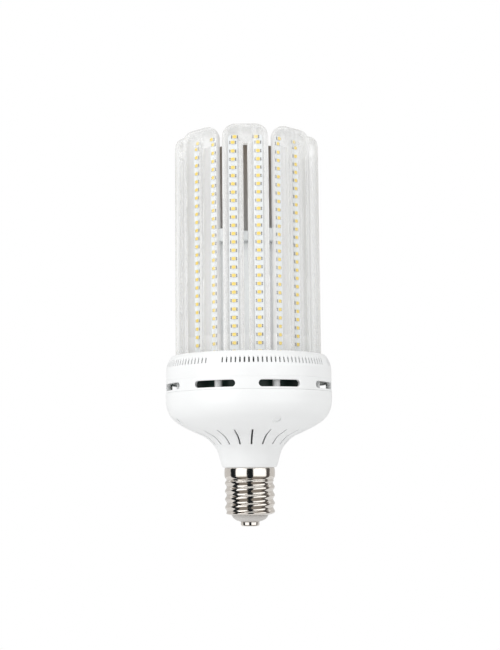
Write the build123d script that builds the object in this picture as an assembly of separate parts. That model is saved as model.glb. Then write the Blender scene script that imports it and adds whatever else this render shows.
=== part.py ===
"""Large LED screw-base lamp with eight U-shaped light tubes on a vented housing.

Frame: millimetres, +Z up along the lamp's axis, the origin at the centre of the
bottom contact.  The lamp stands on its cap: screw cap, bowl, vent ring and top
cover in white plastic, then a ring of eight U tubes about an open metal core.
Tube 1 faces -Y.
"""
import os
from math import cos, radians, sin

from build123d import *

# Screw cap, a 39 mm rolled-thread base
thread_crest_r = 19.65
thread_root_r = 18.35
thread_pitch = 6.35
thread_turns = 4.5
shell_wall = 0.5
shell_bottom_z = 8.8
shell_lip_r = 14.6
shell_roll = 3.2
collar_r = 20.0
collar_height = 8.425

# Bottom contact and its insulator
contact_r = 7.3
contact_height = 3.5
contact_edge = 1.1
stem_r = 1.6
stem_top_z = 14.0
insulator_seat_r = 7.6
insulator_top_z = 12.5
small_clearance = 0.1

# Bowl-shaped lower housing
housing_wall = 2.0
housing_margin = 8.45
neck_r = 21.5
bowl_height = 58.4
spigot_wall = 2.0
slit_count = 20
slit_width = 1.2
slit_rise = 17.9
slit_height = 11.0
slit_reach_r = 55.0
boss_inset = 8.7
boss_r = 2.8
boss_count = 8
screw_count = 4
recess_r = 3.15
recess_boss_r = 4.8
recess_boss_height = 5.0
recess_seat_drop = 16.2
screw_head_r = 2.8
screw_head_height = 2.0
screw_r = 1.4
screw_grip = 8.0

# Vent ring
ring_step = 0.3
ring_height = 10.1
ring_lip_height = 2.0
ring_lip_wall = 1.6
vent_count = 8
vent_length = 33.4
vent_height = 5.4
vent_place = 0.445

# Top cover
cover_height = 19.7
cover_straight = 7.7
cover_rim_inset = 4.5
plate_thickness = 5.0
collar_wall = 1.8
collar_rise = 13.5
slot_count = 120
slot_width = 1.2
slot_rise = 10.4
slot_height = 6.5
slot_web = 1.5
blank_half_angle = 4.4
socket_depth = 3.0
socket_clearance = 0.15

# Eight U tubes
tube_count = 8
leg_r = 8.2
tube_wall = 0.9
leg_circle_r = 49.35
leg_offset = 9.75
corner_turn_r = 2.0
tube_top_z = 310.2

# Boards and light chips inside the tubes
board_inset = 4.35
board_thickness = 1.0
board_width = 7.0
board_top_drop = 7.3
board_chamfer = 1.6
chip_width = 3.5
chip_height = 2.8
chip_thickness = 0.8
chip_pitch = 6.5
chip_rows = 25
chip_top_drop = 1.7
chip_second_drop = 6.1
chip_first_drop = 12.9
chip_top_inset = 1.5

# Core, sleeve and clip ring in the middle
core_clearance = 3.25
core_wall = 1.6
core_top_drop = 13.2
sleeve_wall = 1.2
fit_gap = 0.2
clip_low_z = 219.3
clip_height = 6.9
clip_overhang = 0.85
clip_tab_height = 9.6
clip_tab_width = 4.0
clip_tab_depth = 3.0

# Driver board, its parts and the sheet about them
driver_margin = 2.9
driver_drop = 2.0
driver_thickness = 1.6
driver_hole_r = 6.0
lead_r = 0.9
sheet_r = 50.0
sheet_wall = 0.6
sheet_height = 26.0
transformer_y = -22.0
transformer_height = 22.0
winding_height = 18.0
side_part_x = 38.0
capacitor_r = 6.5
capacitor_height = 24.0
choke_r = 9.0
choke_hole_r = 3.5
choke_width = 6.0
film_height = 14.0
heatsink_y = -44.0
heatsink_height = 16.0

# Heights and radii that follow from the sizes above
thread_top_z = shell_bottom_z + thread_turns * thread_pitch
collar_top_z = thread_top_z + collar_height
slit_low_z = collar_top_z + slit_rise
bowl_top_z = collar_top_z + bowl_height
recess_seat_z = bowl_top_z - recess_seat_drop
ring_bottom_z = bowl_top_z
ring_top_z = ring_bottom_z + ring_height
cover_bottom_z = ring_top_z
cover_top_z = cover_bottom_z + cover_height
plate_bottom_z = cover_top_z - plate_thickness
slot_low_z = cover_bottom_z + slot_rise
socket_floor_z = cover_top_z - socket_depth
housing_r = leg_circle_r + leg_r + housing_margin
boss_circle_r = housing_r - boss_inset
ring_r = housing_r - ring_step
ring_inner_r = ring_r - housing_wall
cover_r = ring_r
cover_inner_r = cover_r - housing_wall
cover_rim_r = cover_r - cover_rim_inset
driver_bottom_z = ring_top_z - driver_drop
driver_top_z = driver_bottom_z + driver_thickness
driver_r = cover_inner_r - driver_margin
board_front_r = leg_circle_r - board_inset
board_top_z = tube_top_z - board_top_drop
core_r = leg_circle_r - leg_r - core_clearance
core_top_z = tube_top_z - core_top_drop
clip_outer_r = leg_circle_r + clip_overhang
sleeve_inner_r = core_r + fit_gap
sleeve_r = sleeve_inner_r + sleeve_wall
cover_bore_r = sleeve_r + fit_gap
cover_collar_r = cover_bore_r + collar_wall
bridge_z = tube_top_z - leg_r
corner_x = leg_offset - corner_turn_r
corner_z = bridge_z - corner_turn_r
spigot_r = collar_r - shell_wall - small_clearance
spigot_bottom_z = thread_top_z + 1.2
tube_step = 360 / tube_count
gap_angle = tube_step / 2
upright = (Align.CENTER, Align.CENTER, Align.MIN)


def around(angle, radius, z=0.0):
    """Place on a circle about the axis; angle 0 is the front, -Y."""
    turn = radians(angle - 90)
    return Pos(radius * cos(turn), radius * sin(turn), z) * Rot(0, 0, angle)


def turned(*lines):
    """Turn a closed outline in the XZ plane about the lamp's axis."""
    edges = [edge for line in lines for edge in line.edges()]
    return revolve(make_face(edges), axis=Axis.Z)


def ring(outer_r, inner_r, low_z, high_z):
    """Plain tube between two heights."""
    outer = Cylinder(outer_r, high_z - low_z, align=upright)
    inner = Cylinder(inner_r, high_z - low_z, align=upright)
    return Pos(0, 0, low_z) * (outer - inner)


def rod(radius, low_z, high_z):
    """Plain upright cylinder between two heights."""
    return Pos(0, 0, low_z) * Cylinder(radius, high_z - low_z, align=upright)


def point(r, z):
    """Point of an outline at radius r and height z."""
    return (r, 0, z)


def inset(outline, wall):
    """Outline points moved inwards, square to the line through their neighbours."""
    moved = []
    for i, (r, z) in enumerate(outline):
        before = outline[max(i - 1, 0)]
        after = outline[min(i + 1, len(outline) - 1)]
        along = Vector(after[0] - before[0], after[1] - before[1]).normalized()
        moved.append((r - wall * along.Y, z + wall * along.X))
    return moved


def make_contact():
    """Disc contact with a rounded lower edge and a stem through the insulator."""
    disc = rod(contact_r, 0, contact_height)
    disc = fillet(disc.edges().group_by(Axis.Z)[0], contact_edge)
    return disc + rod(stem_r, contact_height, stem_top_z)


def make_insulator():
    """Glassy cone between the contact and the screw shell."""
    hole_r = stem_r + small_clearance
    shoulder_r = shell_lip_r - small_clearance
    flare = ThreePointArc(
        point(insulator_seat_r, contact_height),
        point(insulator_seat_r + 4.6, contact_height + 2.0),
        point(shoulder_r, shell_bottom_z),
    )
    rest = Polyline(
        point(shoulder_r, shell_bottom_z),
        point(shoulder_r, insulator_top_z),
        point(hole_r, insulator_top_z),
        point(hole_r, contact_height),
        point(insulator_seat_r, contact_height),
    )
    return turned(flare, rest)


def make_screw_shell():
    """Drawn metal shell: rolled lower lip, threaded wall and plain collar."""
    lip_z = shell_bottom_z + shell_roll
    outer_arc = ThreePointArc(
        point(shell_lip_r, shell_bottom_z),
        point(thread_crest_r - 1.1, shell_bottom_z + 1.1),
        point(thread_crest_r, lip_z),
    )
    outer = Polyline(
        point(thread_crest_r, lip_z),
        point(thread_crest_r, thread_top_z),
        point(collar_r, thread_top_z + 0.6),
        point(collar_r, collar_top_z),
        point(collar_r - shell_wall, collar_top_z),
        point(collar_r - shell_wall, thread_top_z + 0.8),
        point(thread_crest_r - shell_wall, thread_top_z + 0.2),
        point(thread_crest_r - shell_wall, lip_z),
    )
    inner_arc = ThreePointArc(
        point(thread_crest_r - shell_wall, lip_z),
        point(thread_crest_r - 1.1 - shell_wall, shell_bottom_z + 1.1 + shell_wall),
        point(shell_lip_r, shell_bottom_z + shell_wall),
    )
    close = Line(point(shell_lip_r, shell_bottom_z + shell_wall), point(shell_lip_r, shell_bottom_z))
    return turned(outer_arc, outer, inner_arc, close)


def bowl_outline():
    """Outer bowl outline from the neck up: a hollow flare and a full shoulder."""
    shares = [
        (0.018, 0.031),
        (0.076, 0.200),
        (0.225, 0.363),
        (0.470, 0.469),
        (0.748, 0.579),
        (0.908, 0.685),
        (0.982, 0.808),
        (1.000, 0.937),
    ]
    reach = housing_r - neck_r
    return [(neck_r + out * reach, collar_top_z + up * bowl_height) for out, up in shares]


def turned_bowl(outline, *rest):
    """Turn a smooth bowl outline, closed by further lines, about the lamp's axis."""
    smooth = Spline(*[point(r, z) for r, z in outline], tangents=[(0.1, 0, 1), (0, 0, 1)])
    return turned(smooth, *rest)


def make_recess_room():
    """All that lies above the middle of the bowl's wall, up to the driver board."""
    middle = inset(bowl_outline(), housing_wall / 2)
    return turned_bowl(
        middle,
        Polyline(
            point(*middle[-1]),
            point(housing_r - housing_wall / 2, driver_bottom_z),
            point(0, driver_bottom_z),
            point(0, middle[0][1]),
            point(*middle[0]),
        ),
    )


def make_lower_housing():
    """Moulded bowl with cooling slits, eight bosses and a spigot for the cap."""
    outer = bowl_outline()
    inner = inset(outer, housing_wall)
    top_inner_r = housing_r - housing_wall
    spigot_inner_r = spigot_r - spigot_wall
    inner_wall = Spline(*[point(r, z) for r, z in inner], tangents=[(0.1, 0, 1), (0, 0, 1)])
    bowl = turned_bowl(
        outer,
        Polyline(
            point(*outer[-1]),
            point(housing_r, bowl_top_z),
            point(top_inner_r, bowl_top_z),
            point(*inner[-1]),
        ),
        inner_wall,
        Polyline(
            point(*inner[0]),
            point(spigot_inner_r, collar_top_z + 1.0),
            point(spigot_inner_r, spigot_bottom_z),
            point(spigot_r, spigot_bottom_z),
            point(spigot_r, collar_top_z),
            point(neck_r, collar_top_z),
            point(*outer[0]),
        ),
    )
    room = make_recess_room()
    for i in range(boss_count):
        place = around(gap_angle + i * 360 / boss_count, boss_circle_r)
        boss = place * rod(boss_r, collar_top_z, driver_bottom_z)
        if i % (boss_count // screw_count) == 0:
            boss += place * rod(recess_boss_r, collar_top_z, recess_seat_z + recess_boss_height)
        bowl += boss & room
    for place in screw_places():
        bowl -= place * rod(recess_r, collar_top_z, recess_seat_z)
        bowl -= place * rod(screw_r + small_clearance, collar_top_z, driver_top_z)
    slit = Pos(0, -neck_r, slit_low_z) * Box(
        slit_width,
        slit_reach_r - neck_r,
        slit_height,
        align=(Align.CENTER, Align.MAX, Align.MIN),
    )
    for i in range(slit_count):
        bowl -= Rot(0, 0, gap_angle + i * 360 / slit_count) * slit
    return bowl


def screw_places():
    """Axes of the four housing screws."""
    return [around(gap_angle + i * 360 / screw_count, boss_circle_r) for i in range(screw_count)]


def make_screw_plugs():
    """Plugs that close the screw recesses, their faces following the bowl."""
    plug_r = recess_r - small_clearance
    plug = rod(plug_r, collar_top_z, recess_seat_z - screw_head_height)
    room = make_recess_room()
    return [place * plug & room for place in screw_places()]


def make_vent_ring():
    """Ring with eight long round-ended vents and a lip into each neighbour."""
    lip_r = ring_inner_r - small_clearance
    outline = Polyline(
        point(ring_r, ring_bottom_z),
        point(ring_r, ring_top_z),
        point(lip_r, ring_top_z),
        point(lip_r, ring_top_z + ring_lip_height),
        point(lip_r - ring_lip_wall, ring_top_z + ring_lip_height),
        point(lip_r - ring_lip_wall, ring_bottom_z - ring_lip_height),
        point(lip_r, ring_bottom_z - ring_lip_height),
        point(lip_r, ring_bottom_z),
        close=True,
    )
    body = turned(outline)
    vent_z = ring_bottom_z + ring_height * vent_place
    slot = Rot(90, 0, 0) * extrude(SlotOverall(vent_length, vent_height), 10, both=True)
    for i in range(vent_count):
        body -= around(gap_angle + i * 360 / vent_count, ring_r, vent_z) * slot
    return body


def make_top_cover():
    """Cover with a ring of fine slots, sixteen leg sockets and a middle collar."""
    bend_z = cover_bottom_z + cover_straight
    rim_z = cover_top_z - 0.8
    outer = Polyline(point(cover_r, cover_bottom_z), point(cover_r, bend_z))
    shoulder = ThreePointArc(
        point(cover_r, bend_z),
        point(cover_r - 1.0, (bend_z + rim_z) / 2),
        point(cover_rim_r + 0.6, rim_z),
    )
    rest = Polyline(
        point(cover_rim_r + 0.6, rim_z),
        point(cover_rim_r - 0.2, cover_top_z),
        point(cover_collar_r, cover_top_z),
        point(cover_collar_r, cover_top_z + collar_rise),
        point(cover_bore_r, cover_top_z + collar_rise),
        point(cover_bore_r, plate_bottom_z),
        point(cover_inner_r - 1.1, plate_bottom_z),
        point(cover_inner_r, bend_z),
        point(cover_inner_r, cover_bottom_z),
        point(cover_r, cover_bottom_z),
    )
    body = turned(outer, shoulder, rest)
    for angle, offset in leg_places():
        spot = leg_spot(angle, offset)
        body -= spot * rod(leg_r + socket_clearance, socket_floor_z, cover_top_z + 1)
        body -= spot * rod(leg_r - tube_wall - 0.15, plate_bottom_z - 1, cover_top_z)
    for place in screw_places():
        body += place * rod(boss_r, driver_top_z, plate_bottom_z)
        body -= place * rod(screw_r + small_clearance, driver_top_z, plate_bottom_z + 1)
    slot = Pos(0, slot_web - cover_inner_r, slot_low_z) * Box(
        slot_width,
        cover_r,
        slot_height,
        align=(Align.CENTER, Align.MAX, Align.MIN),
    )
    cuts = [Rot(0, 0, angle) * slot for angle in slot_angles()]
    return body - cuts


def slot_angles():
    """Angles of the cover's fine slots, with four blank stretches between the screws."""
    step = 360 / slot_count
    angles = []
    for i in range(slot_count):
        angle = (i + 0.5) * step
        from_blank = (angle + gap_angle + 180 / screw_count) % (360 / screw_count) - 180 / screw_count
        if abs(from_blank) > blank_half_angle:
            angles.append(angle)
    return angles


def leg_places():
    """Angle and sideways offset of each of the tube legs."""
    return [(i * tube_step, side * leg_offset) for i in range(tube_count) for side in (-1, 1)]


def leg_spot(angle, offset):
    """Axis of one tube leg."""
    return Rot(0, 0, angle) * Pos(offset, -leg_circle_r, 0)


def u_rod(radius, low_z):
    """Two round legs and a level bridge between them, with rounded outer corners."""
    section = Pos(corner_turn_r, 0, 0) * Circle(radius)
    section &= Rectangle(4 * radius, 4 * radius, align=(Align.MIN, Align.CENTER))
    corner = Rot(0, -90, 0) * revolve(section, axis=Axis.Y, revolution_arc=90)
    corner = Pos(corner_x, 0, corner_z) * corner
    shape = Pos(0, 0, bridge_z) * Rot(0, 90, 0) * Cylinder(radius, 2 * corner_x)
    for side in (-1, 1):
        shape += Pos(side * leg_offset, 0, 0) * rod(radius, low_z, corner_z)
    shape += corner
    shape += mirror(corner, about=Plane.YZ)
    return Pos(0, -leg_circle_r, 0) * shape


def make_tube_halves():
    """Clear front half and white back half of one U tube."""
    tube = u_rod(leg_r, socket_floor_z) - u_rod(leg_r - tube_wall, socket_floor_z - 1)
    reach = 4 * leg_r
    height = tube_top_z - socket_floor_z + 2
    front = Pos(0, -leg_circle_r, socket_floor_z - 1) * Box(
        2 * reach, reach, height, align=(Align.CENTER, Align.MAX, Align.MIN)
    )
    return tube & front, tube - front


def make_boards():
    """Two narrow boards of one U tube, their top corners cut off."""
    height = board_top_z - driver_top_z
    blank = Box(board_width, board_thickness, height, align=(Align.CENTER, Align.MIN, Align.MIN))
    corners = blank.edges().filter_by(Axis.Y).group_by(Axis.Z)[-1]
    blank = chamfer(corners, board_chamfer)
    return [Pos(side * leg_offset, -board_front_r, driver_top_z) * blank for side in (-1, 1)]


def make_chips():
    """Light chips on the two boards of one U tube."""
    chip = Box(chip_width, chip_thickness, chip_height, align=(Align.CENTER, Align.MAX, Align.CENTER))
    chips = []
    drops = [chip_second_drop] + [chip_first_drop + row * chip_pitch for row in range(chip_rows)]
    for side in (-1, 1):
        top_x = side * (leg_offset - chip_top_inset)
        chips.append(Pos(top_x, -board_front_r, board_top_z - chip_top_drop) * chip)
        for drop in drops:
            chips.append(Pos(side * leg_offset, -board_front_r, board_top_z - drop) * chip)
    return chips


def make_clip_ring():
    """Spacer ring half way up that holds all the tube legs."""
    body = ring(clip_outer_r, core_r + fit_gap / 2, clip_low_z, clip_low_z + clip_height)
    tab = Box(clip_tab_width, clip_tab_depth, clip_tab_height, align=upright)
    tab_r = clip_outer_r - clip_tab_depth / 2
    for i in range(tube_count):
        body += around(gap_angle + i * tube_step, tab_r, clip_low_z) * tab
    for angle, offset in leg_places():
        hole = rod(leg_r + socket_clearance, clip_low_z - 1, clip_low_z + clip_tab_height + 1)
        body -= leg_spot(angle, offset) * hole
    return body


def make_driver_board():
    """Round driver board under the cover, with screw holes and an air hole."""
    board = ring(driver_r, driver_hole_r, driver_bottom_z, driver_top_z)
    for place in screw_places():
        board -= place * rod(screw_r + small_clearance, driver_bottom_z - 1, driver_top_z + 1)
    return board


def make_insulation_sheet():
    """Rolled sheet about the driver's parts, its upper edge under the board."""
    return ring(sheet_r, sheet_r - sheet_wall, driver_bottom_z - sheet_height, driver_bottom_z)


def hung(x, y, height):
    """Place of a part that hangs under the driver board."""
    return Pos(x, y, driver_bottom_z - height)


def make_transformer():
    """Ferrite core with its winding between two bobbin cheeks."""
    core = hung(0, transformer_y, transformer_height) * Box(30, 10, transformer_height, align=upright)
    winding = hung(0, transformer_y, winding_height) * Box(20, 22, winding_height - 4, align=upright)
    return core + winding


def make_capacitors():
    """Three round capacitors in a row, each with a chamfered lower end."""
    can = Cylinder(capacitor_r, capacitor_height, align=upright)
    can = chamfer(can.edges().group_by(Axis.Z)[0], 0.8)
    spacing = 2 * capacitor_r + 3
    return [hung(-side_part_x, row * spacing, capacitor_height) * can for row in (-1, 0, 1)]


def make_choke():
    """Wound ring of the line filter, standing on edge under the board."""
    core = Cylinder(choke_r, choke_width) - Cylinder(choke_hole_r, choke_width)
    core = chamfer(core.edges(), 1.2)
    return hung(side_part_x, -14, choke_r) * Rot(0, 90, 0) * core


def make_film_capacitor():
    """Flat boxed capacitor."""
    return hung(side_part_x, 10, film_height) * Box(8, 18, film_height, align=upright)


def make_switch_heatsink():
    """Finned plate that cools the driver's switch."""
    plate = hung(0, heatsink_y, heatsink_height) * Box(30, 2, heatsink_height, align=upright)
    for x in range(-12, 13, 6):
        fin = Box(1.2, 4, heatsink_height, align=upright)
        plate += hung(x, heatsink_y + 3, heatsink_height) * fin
    return plate


def make_leads():
    """Two insulated leads, from the contact and from the shell up to the board."""
    shell_x = thread_root_r - lead_r - 2.2
    bend_z = collar_top_z + 32
    routes = [
        [(0, 0, stem_top_z), (0, -0.01, collar_top_z), (6, -6, bend_z), (6, -6, driver_bottom_z)],
        [
            (-shell_x, 0, shell_bottom_z + 9),
            (-shell_x, 0, collar_top_z + 4),
            (-12, -6, bend_z + 6),
            (-12, -6, driver_bottom_z),
        ],
    ]
    leads = []
    for route in routes:
        path = FilletPolyline(*route, radius=50)
        start = Plane(path @ 0, z_dir=path % 0)
        leads.append(sweep(start * Circle(lead_r), path=path))
    return leads


def make_screws():
    """Four pan-head screws that join bowl, driver board and cover."""
    head_z = recess_seat_z - screw_head_height
    screw = rod(screw_head_r, head_z, recess_seat_z)
    screw = chamfer(screw.edges().group_by(Axis.Z)[0], 0.6)
    screw += rod(screw_r, recess_seat_z, driver_top_z + screw_grip)
    return [place * screw for place in screw_places()]


def save(name, shape):
    """Write one sub-part, one solid or a group of separate ones."""
    if isinstance(shape, (list, tuple)):
        shape = Compound(children=list(shape))
    export_step(shape, f"parts/{name}.step")


def main():
    """Build and write every sub-part."""
    os.makedirs("parts", exist_ok=True)
    save("centre_contact", make_contact())
    save("insulator", make_insulator())
    save("screw_shell", make_screw_shell())
    save("lower_housing", make_lower_housing())
    save("vent_ring", make_vent_ring())
    save("top_cover", make_top_cover())
    save("heat_sink_core", ring(core_r, core_r - core_wall, driver_top_z, core_top_z))
    save("inner_sleeve", ring(sleeve_r, sleeve_inner_r, plate_bottom_z, clip_low_z))
    save("clip_ring", make_clip_ring())
    save("driver_board", make_driver_board())
    save("insulation_sheet", make_insulation_sheet())
    save("transformer", make_transformer())
    save("capacitors", make_capacitors())
    save("choke", make_choke())
    save("film_capacitor", make_film_capacitor())
    save("switch_heatsink", make_switch_heatsink())
    save("leads", make_leads())
    save("housing_screws", make_screws())
    save("screw_plugs", make_screw_plugs())
    front_half, back_half = make_tube_halves()
    boards = make_boards()
    chips = make_chips()
    for i in range(tube_count):
        turn = Rot(0, 0, i * tube_step)
        save(f"tube_{i + 1}_lens", turn * front_half)
        save(f"tube_{i + 1}_back", turn * back_half)
        save(f"tube_{i + 1}_boards", [turn * board for board in boards])
        save(f"tube_{i + 1}_leds", [turn * chip for chip in chips])


main()
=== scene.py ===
"""Looks of a large LED screw-base lamp with eight U-shaped light tubes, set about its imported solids."""
import math

import bmesh
import bpy
from bpy.props import FloatProperty, FloatVectorProperty, IntProperty, PointerProperty
from mathutils import Matrix, Vector


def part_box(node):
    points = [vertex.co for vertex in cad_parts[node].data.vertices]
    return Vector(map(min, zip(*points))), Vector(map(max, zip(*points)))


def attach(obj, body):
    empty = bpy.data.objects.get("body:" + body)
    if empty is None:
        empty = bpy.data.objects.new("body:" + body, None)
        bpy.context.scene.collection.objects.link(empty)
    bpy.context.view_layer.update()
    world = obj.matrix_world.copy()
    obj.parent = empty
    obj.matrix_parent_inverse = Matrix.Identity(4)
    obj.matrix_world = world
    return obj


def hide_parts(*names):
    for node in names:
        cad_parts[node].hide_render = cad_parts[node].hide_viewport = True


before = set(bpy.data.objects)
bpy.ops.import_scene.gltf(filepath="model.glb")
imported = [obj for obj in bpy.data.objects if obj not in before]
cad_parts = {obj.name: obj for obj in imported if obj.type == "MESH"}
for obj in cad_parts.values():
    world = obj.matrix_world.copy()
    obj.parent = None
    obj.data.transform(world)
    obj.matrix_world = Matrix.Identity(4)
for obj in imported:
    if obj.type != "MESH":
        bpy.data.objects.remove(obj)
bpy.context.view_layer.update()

bl_info = {
    "name": "LED tube lamp",
    "version": (1, 0, 0),
    "blender": (4, 5, 0),
    "location": "View3D > Sidebar > Lamp",
    "description": "Builds the looks of a large LED lamp about its packed solids",
    "category": "Object",
}

MM = 0.001
TUBES = 8
BODY = "root"
TUBE_STEP = math.tau / TUBES
GAP_TURN = TUBE_STEP / 2
SCREWS = 4
UPPER_R = 65.7 * MM
SEAM = 0.34 * MM
SEAM_FOOT = 0.02 * MM
LENS_LOW, LENS_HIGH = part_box("tube_1_lens")
LEG_R = LENS_HIGH.y - LENS_LOW.y


def top(node):
    """Height of a solid's highest point."""
    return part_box(node)[1].z


def bottom(node):
    """Height of a solid's lowest point."""
    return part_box(node)[0].z


def length(name, description, default):
    """A length in metres that a user may change."""
    return FloatProperty(name=name, description=description, default=default, unit="LENGTH")


def colour(name, description, default):
    """A linear colour that a user may change."""
    return FloatVectorProperty(
        name=name, description=description, default=default, subtype="COLOR", size=3, min=0, max=1
    )


class LampSizes(bpy.types.PropertyGroup):
    """Sizes of the lamp's dressed pieces."""

    crest_r: length("Thread crest", "Radius over the thread crests", 19.62 * MM)
    root_r: length("Thread root", "Radius in the thread roots", 18.3 * MM)
    pitch: length("Thread pitch", "Rise of one turn of the thread", 6.35 * MM)
    collar_r: length("Cap collar", "Radius of the plain band of the cap", 19.95 * MM)
    neck_r: length("Neck", "Radius of the housing's lower edge", 21.5 * MM)
    wall: length("Housing wall", "Wall of the white mouldings", 2.0 * MM)
    vent_length: length("Vent length", "Length of the long vents", 33.4 * MM)
    vent_height: length("Vent height", "Height of the long vents", 5.4 * MM)
    slot_width: length("Slot width", "Width of the cover's fine slots", 1.2 * MM)
    leg_r: length("Tube leg", "Outer radius of a tube leg", LEG_R)
    tube_wall: length("Tube wall", "Wall of the tube halves", 0.9 * MM)
    leg_circle_r: length("Leg circle", "Distance of the leg plane from the axis", -LENS_HIGH.y)
    leg_offset: length("Leg offset", "Half the distance between the legs of a tube", LENS_HIGH.x - LEG_R)
    corner_turn: length("Corner turn", "Centre-line radius of the tube's corners", 2.0 * MM)
    chip_pitch: length("Chip pitch", "Distance between light chips", 6.5 * MM)
    chip_rows: IntProperty(name="Chip rows", description="Evenly spaced chips on a leg", default=25, min=1)


class LampColours(bpy.types.PropertyGroup):
    """Colours of the lamp's finishes."""

    housing: colour("Housing", "White mouldings", (0.91, 0.92, 0.92))
    back: colour("Tube back", "White half of the tubes", (0.94, 0.94, 0.93))
    board: colour("Board", "Bluish white light boards", (0.87, 0.91, 0.93))
    phosphor: colour("Phosphor", "Yellow of the light chips", (1.0, 0.70, 0.03))
    nickel: colour("Nickel", "Plated cap", (0.80, 0.76, 0.71))
    core: colour("Core", "Dark metal core", (0.30, 0.29, 0.28))
    core_top: colour("Core top", "Browner upper end of the core", (0.20, 0.165, 0.13))
    sleeve: colour("Sleeve", "Pale inner sleeve", (0.93, 0.95, 0.95))
    green: colour("Green", "Driver board", (0.03, 0.13, 0.08))


def sizes():
    """The scene's sizes."""
    return bpy.context.scene.lamp_sizes


def colours():
    """The scene's colours."""
    return bpy.context.scene.lamp_colours


# Helpers for modelling


def clear_selection():
    """Object mode with nothing selected."""
    if bpy.context.object and bpy.context.object.mode != "OBJECT":
        bpy.ops.object.mode_set(mode="OBJECT")
    bpy.ops.object.select_all(action="DESELECT")


def only(piece):
    """Make one object selected and active."""
    clear_selection()
    piece.select_set(True)
    bpy.context.view_layer.objects.active = piece
    return piece


def start_point(name, place):
    """A one-point mesh in edit mode, its point selected."""
    clear_selection()
    bpy.ops.mesh.primitive_plane_add(size=MM)
    piece = bpy.context.object
    piece.name = name
    piece.data.name = name
    bpy.ops.object.mode_set(mode="EDIT")
    bpy.ops.mesh.select_all(action="SELECT")
    bpy.ops.mesh.merge(type="CENTER")
    bpy.ops.transform.translate(value=place)
    return piece


def tidy_mesh():
    """Weld and turn outwards what is in edit mode, then leave it."""
    bpy.ops.mesh.select_all(action="SELECT")
    bpy.ops.mesh.remove_doubles(threshold=0.002 * MM)
    bpy.ops.mesh.dissolve_degenerate(threshold=0.001 * MM)
    bpy.ops.mesh.normals_make_consistent(inside=False)
    bpy.ops.object.mode_set(mode="OBJECT")


def turn_outline(name, outline, steps):
    """Spin an outline of (radius, height) points about the lamp's axis."""
    here = Vector((outline[0][0], 0, outline[0][1]))
    piece = start_point(name, here)
    for r, z in outline[1:]:
        there = Vector((r, 0, z))
        bpy.ops.mesh.extrude_vertices_move(TRANSFORM_OT_translate={"value": there - here})
        here = there
    bpy.ops.mesh.select_all(action="SELECT")
    bpy.ops.mesh.spin(steps=steps, angle=math.tau, center=(0, 0, 0), axis=(0, 0, 1))
    tidy_mesh()
    return piece


def smooth(piece, degrees=32):
    """Smooth shading, with edges sharper than the angle kept."""
    only(piece)
    bpy.ops.object.shade_smooth_by_angle(angle=math.radians(degrees))
    return piece


def apply_modifier(piece, kind, **settings):
    """Add one modifier with its settings and apply it."""
    only(piece)
    modifier = piece.modifiers.new(kind.title(), kind)
    for key, value in settings.items():
        setattr(modifier, key, value)
    bpy.ops.object.modifier_apply(modifier=modifier.name)
    return piece


def soften(piece, width, segments=2, degrees=40):
    """Round the edges that are sharper than the angle."""
    return apply_modifier(
        piece,
        "BEVEL",
        width=width,
        segments=segments,
        limit_method="ANGLE",
        angle_limit=math.radians(degrees),
        harden_normals=False,
    )


def join(pieces, name):
    """Join meshes into one object."""
    clear_selection()
    for piece in pieces:
        piece.select_set(True)
    bpy.context.view_layer.objects.active = pieces[0]
    if len(pieces) > 1:
        bpy.ops.object.join()
    pieces[0].name = name
    return pieces[0]


def turned_copy(piece, turn, name):
    """Copy with its own mesh, turned about the lamp's axis."""
    copy = piece.copy()
    copy.data = piece.data.copy()
    copy.data.transform(Matrix.Rotation(turn, 4, "Z"))
    copy.name = name
    bpy.context.scene.collection.objects.link(copy)
    return copy


def ring_of(piece, turns, name):
    """Join copies of a piece at several turns about the axis; the piece itself goes."""
    copies = [turned_copy(piece, turn, f"{name}_part") for turn in turns]
    bpy.data.objects.remove(piece)
    return join(copies, name)


def cut(piece, cutter):
    """Cut one mesh out of another."""
    apply_modifier(piece, "BOOLEAN", operation="DIFFERENCE", solver="EXACT", object=cutter)
    bpy.data.objects.remove(cutter)
    return piece


def box_piece(name, low, high):
    """A box between two corners, its place in its mesh."""
    clear_selection()
    middle = (Vector(low) + Vector(high)) / 2
    bpy.ops.mesh.primitive_cube_add(size=1)
    piece = bpy.context.object
    piece.name = name
    span = Vector(high) - Vector(low)
    piece.data.transform(Matrix.Translation(middle) @ Matrix.Diagonal((*span, 1)))
    return piece


def round_bar(name, radius, start, end, vertices=32):
    """A round bar between two points."""
    clear_selection()
    start, end = Vector(start), Vector(end)
    along = end - start
    bpy.ops.mesh.primitive_cylinder_add(vertices=vertices, radius=radius, depth=along.length)
    piece = bpy.context.object
    piece.name = name
    turn = along.to_track_quat("Z", "Y").to_matrix().to_4x4()
    piece.data.transform(Matrix.Translation((start + end) / 2) @ turn)
    return piece


def on_circle(turn, radius, z):
    """Point about the axis; turn 0 is the front, -Y, and a positive turn goes to +X."""
    return Vector((radius * math.sin(turn), -radius * math.cos(turn), z))


def curve_through(points, steps):
    """Smooth outline through points, each stretch a cubic."""
    ends = [points[0], *points, points[-1]]
    result = []
    for a, b, c, d in zip(ends, ends[1:], ends[2:], ends[3:]):
        for k in range(steps):
            t = k / steps
            result.append(tuple(
                0.5 * (2 * b[i] + (c[i] - a[i]) * t + (2 * a[i] - 5 * b[i] + 4 * c[i] - d[i]) * t**2
                       + (3 * b[i] - a[i] - 3 * c[i] + d[i]) * t**3)
                for i in range(2)
            ))
    return [*result, points[-1]]


def arc(middle, radius, start, end, steps):
    """Points of an arc in the outline plane, angles in degrees from outwards to up."""
    return [
        (
            middle[0] + radius * math.cos(math.radians(start + (end - start) * k / steps)),
            middle[1] + radius * math.sin(math.radians(start + (end - start) * k / steps)),
        )
        for k in range(steps + 1)
    ]


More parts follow.
